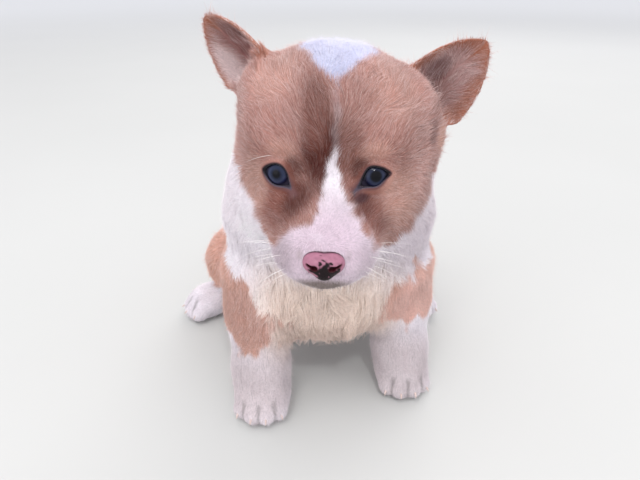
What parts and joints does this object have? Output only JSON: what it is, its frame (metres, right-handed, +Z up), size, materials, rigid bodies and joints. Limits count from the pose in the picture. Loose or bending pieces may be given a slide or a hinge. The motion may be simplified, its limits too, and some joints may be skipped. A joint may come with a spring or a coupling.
{
  "type": "pembroke welsh corgi puppy",
  "caption": "Life-size still model of a short-legged herding-dog puppy that sits, with upright ears, red and white coat and a stub tail.",
  "frame": {"origin": "on the floor, in the middle of the flat that the rump rests on", "axes": "+Z up; -Y the way that the puppy faces; +X the puppy's own left side"},
  "size_m": [0.2108, 0.2634, 0.2248],
  "materials": {
    "red_coat": "soft short red-tan fur",
    "white_coat": "soft white to cream fur",
    "nose_leather": "moist pink skin with a dark patch",
    "eye": "wet, blue-grey iris and black pupil",
    "claw": "pale horn"
  },
  "bodies": {
    "root": {"head": "red_coat", "lower_jaw": "white_coat", "nose": "nose_leather", "neck_and_bib": "white_coat", "torso": "red_coat", "tail": "red_coat", "ear_right": "red_coat", "eye_right": "eye", "foreleg_right": "white_coat", "forepaw_right": "white_coat", "hindleg_right": "red_coat", "hindfoot_right": "white_coat", "ear_left": "red_coat", "eye_left": "eye", "foreleg_left": "white_coat", "forepaw_left": "white_coat", "hindleg_left": "red_coat", "hindfoot_left": "white_coat", "forepaw_right_claw_1": "claw", "forepaw_right_claw_2": "claw", "forepaw_right_claw_3": "claw", "forepaw_right_claw_4": "claw", "forepaw_left_claw_1": "claw", "forepaw_left_claw_2": "claw", "forepaw_left_claw_3": "claw", "forepaw_left_claw_4": "claw", "hindfoot_right_claw_1": "claw", "hindfoot_right_claw_2": "claw", "hindfoot_right_claw_3": "claw", "hindfoot_right_claw_4": "claw", "hindfoot_left_claw_1": "claw", "hindfoot_left_claw_2": "claw", "hindfoot_left_claw_3": "claw", "hindfoot_left_claw_4": "claw"}
  },
  "joints": []
}
